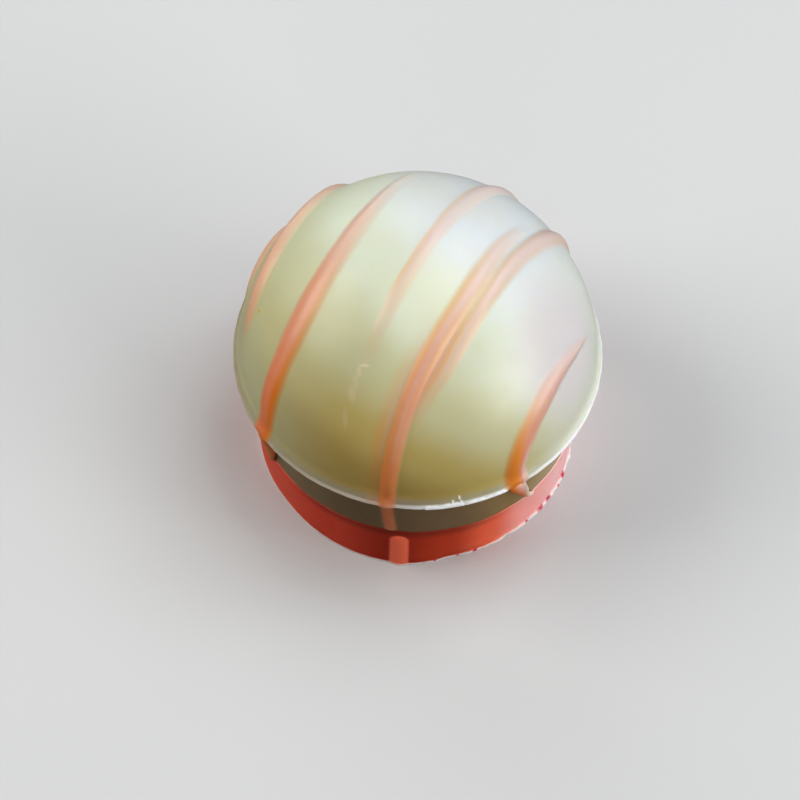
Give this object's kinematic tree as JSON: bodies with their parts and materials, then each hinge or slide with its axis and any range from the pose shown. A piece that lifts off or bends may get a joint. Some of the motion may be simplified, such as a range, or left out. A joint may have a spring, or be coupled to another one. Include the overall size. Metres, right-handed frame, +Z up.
{
  "type": "chocolate praline",
  "caption": "Round moulded praline: a satin white chocolate dome with a thin lip, a recessed white band and a pink chocolate foot, with soft pink drizzle running over it in parallel strands.",
  "frame": {"origin": "centre of the flat underside, on the surface that the praline rests on", "axes": "+Z up through the middle of the dome; -Y towards the side where three strands run down over the lip; +X to the right when seen from -Y"},
  "size_m": [0.03, 0.03, 0.0258],
  "materials": {
    "white_chocolate": "satin white chocolate from a polished mould, faintly translucent",
    "band_chocolate": "satin white chocolate, a little duller than the dome",
    "pink_chocolate": "satin coral pink chocolate",
    "drizzle": "soft salmon pink drizzle, glossy where it is thick"
  },
  "bodies": {
    "root": {"dome": "white_chocolate", "band": "band_chocolate", "foot": "pink_chocolate"}
  },
  "joints": []
}
